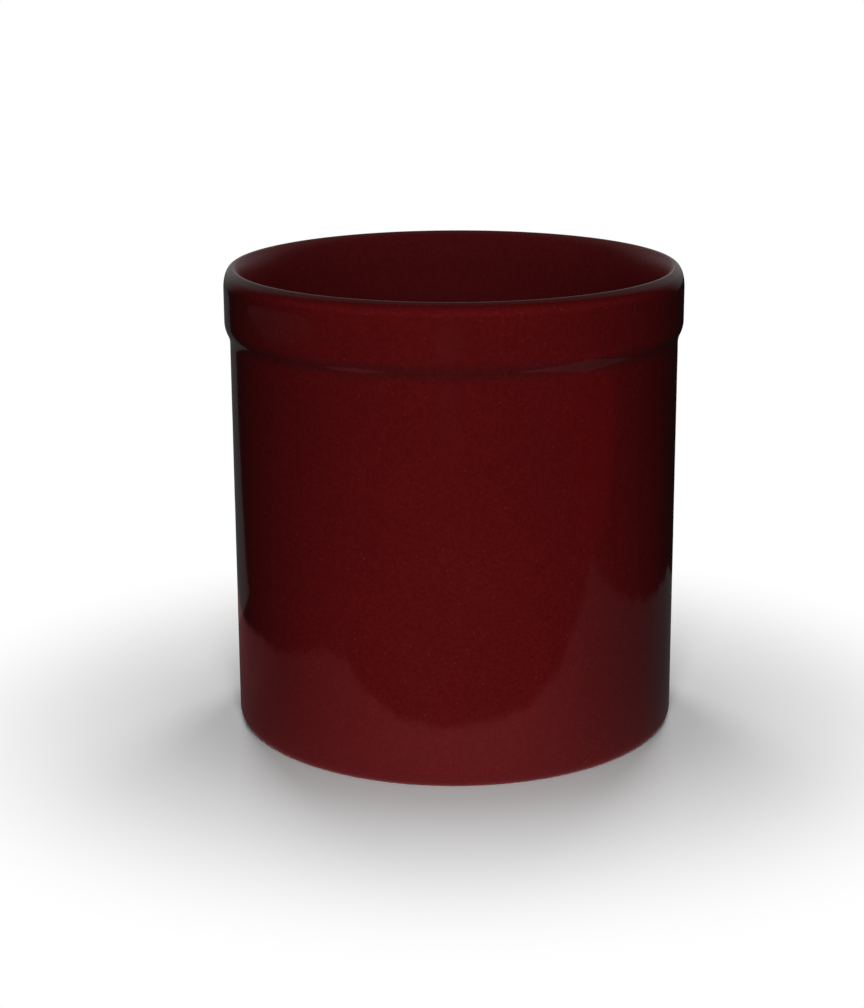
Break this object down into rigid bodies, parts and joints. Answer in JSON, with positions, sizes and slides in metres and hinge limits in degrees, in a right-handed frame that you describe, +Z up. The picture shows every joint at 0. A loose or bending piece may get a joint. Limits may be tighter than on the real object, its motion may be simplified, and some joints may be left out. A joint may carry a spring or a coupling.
{
  "type": "utensil crock",
  "caption": "Round straight-sided glazed stoneware crock with a raised collar and rounded lip, open at the top, for keeping kitchen utensils upright.",
  "frame": {"origin": "centre of the foot ring, on the plane that the crock stands on", "axes": "+Z up along the axis of the pot; the pot is round, so +X and +Y are any two directions square to it"},
  "size_m": [0.176, 0.176, 0.18],
  "materials": {
    "bare_stoneware": "unglazed fired stoneware, matt, finely speckled",
    "red_glaze": "deep oxblood red gloss glaze with fine speckle and a slight orange peel"
  },
  "bodies": {
    "root": {"stoneware_body": "bare_stoneware", "outer_glaze": "red_glaze", "inner_glaze": "red_glaze", "base_glaze": "red_glaze"}
  },
  "joints": []
}
